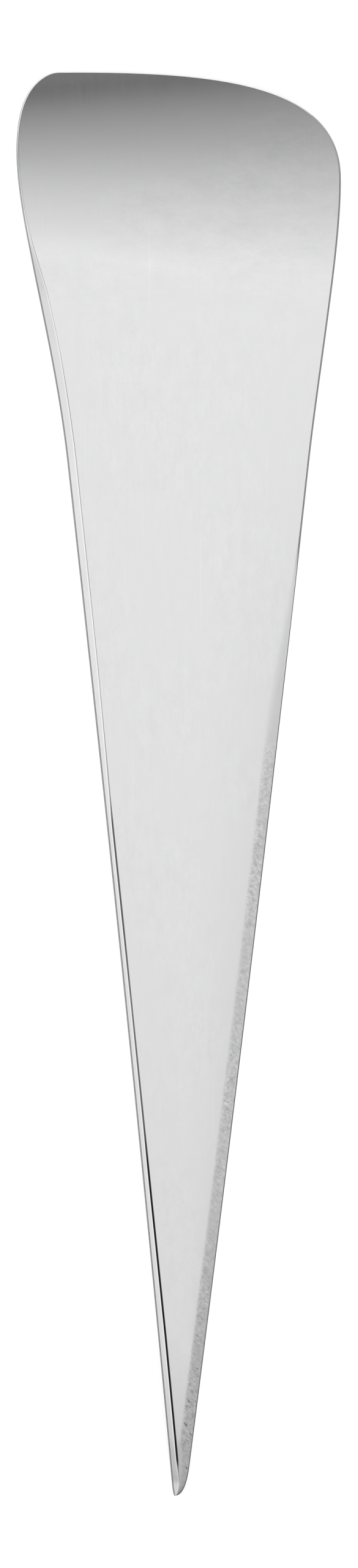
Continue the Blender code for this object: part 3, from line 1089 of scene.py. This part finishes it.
class SurfaceGroups:
    """The shader node groups that the steel finishes share, each built once."""

    def __init__(self) -> None:
        """Builds the groups."""
        self.grain = self.streaks("steel_grain", detail=3.0, sharp=False)
        self.strokes = self.streaks("steel_strokes", detail=1.0, sharp=True)
        self.clouds = self.patches()

    @staticmethod
    def start(name: str, numbers: tuple[str, ...], result: str) -> Board:
        """Starts a group with a place and some numbers as inputs and one value as output.

        Args:
            name: The group's name.
            numbers: Names of its number inputs.
            result: Name of its output.

        Returns:
            A board to build it on.
        """
        board = Board(bpy.data.node_groups.new(name, "ShaderNodeTree"))
        board.sockets("INPUT", "NodeSocketVector", "Place")
        board.sockets("INPUT", "NodeSocketFloat", *numbers)
        board.sockets("OUTPUT", "NodeSocketFloat", result)
        return board

    def streaks(self, name: str, detail: float, sharp: bool) -> bpy.types.NodeTree:
        """Streaks that lean from the knife's length.

        Args:
            name: The group's name.
            detail: Detail of the noise that makes them.
            sharp: Whether only the strongest streaks are kept, as separate strokes.

        Returns:
            A group with Place, Lean, Lines, Run and, for strokes, Cut as inputs. Its output is about 0 on
            average, or 1 on a stroke and 0 beside it.
        """
        numbers = ("Lean", "Lines", "Run", "Cut") if sharp else ("Lean", "Lines", "Run")
        board = self.start(name, numbers, "Streak")
        given = board.given()
        turned = {"Vector": given["Place"], "Angle": given["Lean"]}
        leaned = board.node("ShaderNodeVectorRotate", turned, rotation_type="Z_AXIS").outputs[0]
        scaled = board.scaled(leaned, given["Lines"], given["Run"], given["Lines"])
        noise = board.noise(Vector=scaled, Scale=1.0, Detail=detail)
        if sharp:
            value = board.soft_step(noise, given["Cut"], board.math("ADD", given["Cut"], STROKE_SOFTNESS))
        else:
            value = board.math("SUBTRACT", noise, NOISE_MIDDLE)
        return board.give(value)

    def patches(self) -> bpy.types.NodeTree:
        """Soft cloudy patches that are stronger in clusters.

        Returns:
            A group with Place, Patches, Clusters and Narrow as inputs. Narrow draws the patches out across
            the knife below 1, and along it above 1. The output is about 0 on average.
        """
        board = self.start("steel_clouds", ("Patches", "Clusters", "Narrow"), "Cloud")
        given = board.given()
        spread = board.scaled(given["Place"], given["Narrow"], 1.0, 1.0)
        noise = board.noise(
            Vector=spread, Scale=given["Patches"], Detail=CLOUD_DETAIL, Roughness=CLOUD_ROUGHNESS
        )
        cluster = board.noise(Vector=spread, Scale=given["Clusters"])
        amount = board.between(board.soft_step(cluster, *CLUSTER_EDGES), *CLUSTER_RANGE)
        return board.give(board.math("MULTIPLY", board.math("SUBTRACT", noise, NOISE_MIDDLE), amount))


class Coat(NamedTuple):
    """What a finish gives a shader: its colour, roughness and fine height."""

    colour: Socket
    roughness: Socket
    height: Socket


@dataclass(frozen=True)
class SteelFinish:
    """One way the steel is finished; lines, runs, patches and clusters are counts per metre."""

    colour: tuple[float, float, float]
    roughness: float
    lean: float = 0.0
    lines: float = 8000.0
    run: float = 120.0
    grain_tone: float = 0.05
    grain_rough: float = 0.08
    grain_height: float = 1.0
    stroke_lean: float = 0.0
    stroke_lines: float = 2600.0
    stroke_run: float = 28.0
    stroke_cut: float = 0.7
    stroke_tone: float = 0.012
    stroke_rough: float = -0.01
    stroke_height: float = 0.15
    patches: float = 55.0
    clusters: float = 9.0
    cloud_narrow: float = 1.0
    cloud_tone: float = 0.04
    cloud_rough: float = 0.05

    def lay(self, board: Board, groups: SurfaceGroups, place: Socket) -> Coat:
        """Adds the nodes of this finish to a material.

        Args:
            board: The material's nodes.
            groups: The shared groups.
            place: Where on the flat knife a point lies.

        Returns:
            The finish's colour, roughness and height.
        """
        grain = board.group(groups.grain, Place=place, Lean=self.lean, Lines=self.lines, Run=self.run)
        stroke = board.group(
            groups.strokes,
            Place=place,
            Lean=self.stroke_lean,
            Lines=self.stroke_lines,
            Run=self.stroke_run,
            Cut=self.stroke_cut,
        )
        cloud = board.group(
            groups.clouds,
            Place=place,
            Patches=self.patches,
            Clusters=self.clusters,
            Narrow=self.cloud_narrow,
        )
        tone = board.total(
            1.0, (grain, self.grain_tone), (stroke, self.stroke_tone), (cloud, self.cloud_tone)
        )
        rough = board.total(
            self.roughness,
            (grain, self.grain_rough),
            (stroke, self.stroke_rough),
            (cloud, self.cloud_rough),
        )
        height = board.total(0.0, (grain, self.grain_height), (stroke, self.stroke_height))
        shade = board.node("ShaderNodeVectorMath", {0: self.colour, "Scale": tone}, operation="SCALE")
        return Coat(shade.outputs[0], rough, height)


@dataclass(frozen=True)
class DressedSteel:
    """A material of the knife: one finish, and others that take over where a mark of the mesh says."""

    name: str
    base: SteelFinish
    layers: tuple[tuple[SteelFinish, Mark], ...] = ()
    relief: float = 0.0012 * MM

    def material(self, groups: SurfaceGroups) -> bpy.types.Material:
        """Builds the material.

        Args:
            groups: The shared groups.

        Returns:
            The new material.
        """
        material = bpy.data.materials.new(self.name)
        board = Board.of(material)
        place = board.node("ShaderNodeAttribute", attribute_name=Mark.FLAT.value).outputs["Vector"]
        coat = self.base.lay(board, groups, place)
        for finish, mark in self.layers:
            top = finish.lay(board, groups, place)
            share = board.node("ShaderNodeAttribute", attribute_name=mark.value).outputs["Fac"]
            coat = Coat(
                board.blend(share, coat.colour, top.colour),
                board.between(share, coat.roughness, top.roughness),
                board.between(share, coat.height, top.height),
            )
        bump = board.node("ShaderNodeBump", {"Distance": self.relief, "Height": coat.height})
        inputs = {
            "Base Color": coat.colour,
            "Roughness": coat.roughness,
            "Metallic": 1.0,
            "Normal": bump.outputs[0],
        }
        board.feed(material.node_tree.nodes["Principled BSDF"], inputs)
        return material


SATIN = SteelFinish(
    colour=(0.76, 0.76, 0.765),
    roughness=0.25,
    patches=300.0,
    clusters=48.0,
    cloud_narrow=2.0,
    cloud_tone=0.16,
    cloud_rough=0.02,
)
ROLLED = replace(SATIN, cloud_narrow=0.6, cloud_tone=0.18)
# Rougher satin whose darker colour is painted shade
HAZED_AND_SHADED = replace(SATIN, colour=(0.64, 0.64, 0.645), roughness=0.28)
# Painted highlight: a brighter colour on the facet's corner beside the dark line
WORN = SteelFinish(colour=(0.9, 0.9, 0.902), roughness=0.22)
GROUND = SteelFinish(
    colour=(0.62, 0.62, 0.625),
    roughness=0.34,
    lean=math.radians(-48.0),
    lines=3200.0,
    run=1000.0,
    grain_tone=0.6,
    stroke_lean=math.radians(-40.0),
    stroke_lines=4200.0,
    stroke_run=420.0,
    stroke_cut=0.67,
    stroke_tone=-0.75,
    stroke_height=1.2,
    patches=1900.0,
    clusters=110.0,
    cloud_tone=1.5,
)
EDGED = replace(
    GROUND, colour=(0.755, 0.755, 0.76), roughness=0.27, grain_tone=0.5, stroke_tone=0.3, cloud_tone=1.1
)
# Painted shade: a near-black colour laid in the modelled groove of the dark line
PAINTED_LINE_SHADE = SteelFinish(colour=(0.026, 0.026, 0.026), roughness=0.5)
# Rougher rim whose dark colour is painted shade
CUT = SteelFinish(colour=(0.36, 0.36, 0.365), roughness=0.4, lines=6000.0, run=900.0, grain_tone=0.2)

# The face's material lays a painted highlight and painted shade over the satin; the edge's lays painted
# shade over the grind
MATERIALS = {
    Zone.SATIN: DressedSteel(
        "satin_steel_face",
        SATIN,
        ((ROLLED, Mark.CURL), (HAZED_AND_SHADED, Mark.HAZE), (WORN, Mark.WORN), (PAINTED_LINE_SHADE, Mark.LINE)),
    ),
    Zone.GROUND: DressedSteel(
        "ground_steel_edge",
        SATIN,
        ((HAZED_AND_SHADED, Mark.HAZE), (EDGED, Mark.EDGED), (GROUND, Mark.GROUND), (CUT, Mark.CUT)),
    ),
    Zone.CUT: DressedSteel("cut_steel_rim", CUT),
}


@dataclass(frozen=True)
class Studio:
    """Floor, light and camera; the sky's levels are pairs of an angle off the vertical and a strength."""

    pixel: float = 0.0775 * MM
    camera_height: float = 1.383
    sight_height: float = 0.3 * MM
    sensor: float = 36.0
    middle: Pair = (0.16 * MM, 0.04 * MM)
    floor_radius: float = 8.0
    floor_segments: int = 96
    floor_colour: tuple[float, float, float] = (0.9, 0.9, 0.9)
    floor_roughness: float = 0.9
    floor_glow: float = 0.55
    along: Table = (
        (-90.0, 0.3),
        (-50.0, 0.2),
        (-20.0, 0.4),
        (-9.5, 0.76),
        (-5.0, 1.08),
        (0.0, 0.895),
        (8.0, 0.79),
        (15.0, 0.735),
        (25.0, 0.66),
        (35.0, 0.555),
        (46.0, 0.43),
        (57.0, 0.34),
        (66.0, 0.258),
        (77.0, 0.088),
        (90.0, 0.015),
    )
    across: Table = (
        (-90.0, 0.45),
        (-30.0, 0.55),
        (-10.0, 0.95),
        (0.0, 1.0),
        (14.0, 1.0),
        (40.0, 0.86),
        (54.0, 0.52),
        (66.0, 0.3),
        (90.0, 0.22),
    )
    strength: float = 1.21
    box_size: Pair = (0.9, 0.36)
    box_distance: float = 0.9
    box_lean: float = math.radians(67.0)
    box_watts: float = 0.66

    def floor(self) -> bpy.types.Object:
        """Makes the pale floor: a wide disc that stays white beside the knife's soft shadow.

        Returns:
            The floor.
        """
        mesh = bpy.data.meshes.new("studio_floor")
        bm = bmesh.new()
        bmesh.ops.create_circle(bm, cap_ends=True, segments=self.floor_segments, radius=self.floor_radius)
        bm.to_mesh(mesh)
        bm.free()
        material = bpy.data.materials.new("white_paper")
        board = Board.of(material)
        path = board.node("ShaderNodeLightPath").outputs
        seen = board.math("MAXIMUM", path["Is Camera Ray"], path["Is Glossy Ray"])
        seen = board.math("MAXIMUM", seen, path["Is Transmission Ray"])
        inputs = {
            "Base Color": (*self.floor_colour, 1.0),
            "Roughness": self.floor_roughness,
            "Specular IOR Level": 0.0,
            "Emission Color": WHITE,
            "Emission Strength": board.math("MULTIPLY", seen, self.floor_glow),
        }
        board.feed(material.node_tree.nodes["Principled BSDF"], inputs)
        mesh.materials.append(material)
        floor = add_object("studio_floor", mesh)
        return floor

    @staticmethod
    def level(board: Board, part: Socket, stops: Table) -> Socket:
        """Strength of the sky by its angle along one axis.

        Args:
            board: The world's nodes.
            part: The sky direction's share along that axis.
            stops: Pairs of an angle in degrees and a strength.

        Returns:
            The strength.
        """
        angle = board.math("ARCSINE", part)
        # The ramp starts at 90 degrees one way and ends at 90 degrees the other way
        share = board.math("MULTIPLY_ADD", angle, 1.0 / math.pi, 0.5)
        ramp = board.place("ShaderNodeValToRGB", share)
        colours = ramp.color_ramp.elements
        for degrees, _ in stops[1:-1]:
            colours.new(degrees / 180.0 + 0.5)
        for element, (_, strength) in zip(colours, stops):
            element.color = (strength, strength, strength, 1.0)
        return ramp.outputs[0]

    def sky(self) -> None:
        """Lights the studio from above with a soft glow that falls off towards the sides."""
        world = bpy.data.worlds.new("soft_sky")
        board = Board.of(world)
        toward = board.node("ShaderNodeTexCoord").outputs["Generated"]
        parts = board.place("ShaderNodeSeparateXYZ", toward).outputs
        across = self.level(board, parts[0], self.across)
        level = board.math("MULTIPLY", across, self.level(board, parts[1], self.along))
        inputs = {"Color": WHITE, "Strength": board.math("MULTIPLY", level, self.strength)}
        board.feed(world.node_tree.nodes["Background"], inputs)
        bpy.context.scene.world = world

    def side_box(self) -> bpy.types.Object:
        """Sets a soft box low beside the spine, which the spine's facet mirrors.

        Returns:
            The lamp.
        """
        lamp = bpy.data.lights.new("spine_soft_box", "AREA")
        lamp.shape = "RECTANGLE"
        lamp.size, lamp.size_y = self.box_size
        lamp.energy = self.box_watts
        box = add_object("spine_soft_box", lamp)
        away = Vector((-math.sin(self.box_lean), 0.0, math.cos(self.box_lean)))
        box.location = away * self.box_distance
        across = Vector((0.0, 1.0, 0.0))
        box.rotation_euler = Matrix((across, away.cross(across), away)).transposed().to_euler()
        return box

    def camera(self) -> bpy.types.Object:
        """Sets the camera straight above the knife, framed as the photograph is.

        Returns:
            The camera.
        """
        data = bpy.data.cameras.new("overhead")
        data.sensor_width = self.sensor
        data.lens = self.sensor * (self.camera_height - self.sight_height) / (PHOTO_HEIGHT * self.pixel)
        camera = add_object("overhead", data)
        camera.location = (*self.middle, self.camera_height)
        bpy.context.scene.camera = camera
        return camera

    def build(self) -> list[bpy.types.Object]:
        """Builds the floor, the lights and the camera.

        Returns:
            The new objects.
        """
        bpy.context.scene.view_settings.view_transform = "Standard"
        self.sky()
        return [self.floor(), self.side_box(), self.camera()]


def main() -> None:
    """Builds the knife and its studio."""
    logging.basicConfig(level=logging.INFO, format="%(message)s")
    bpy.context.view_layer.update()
    groups = SurfaceGroups()
    finishes = {zone: dress.material(groups) for zone, dress in MATERIALS.items()}
    knife = KnifeBody().build(finishes)
    LOG.info("%s: %d faces", knife.name, len(knife.data.polygons))
    for stand in Studio().build():
        LOG.info("%s: in place", stand.name)


if __name__ == "__main__":
    main()
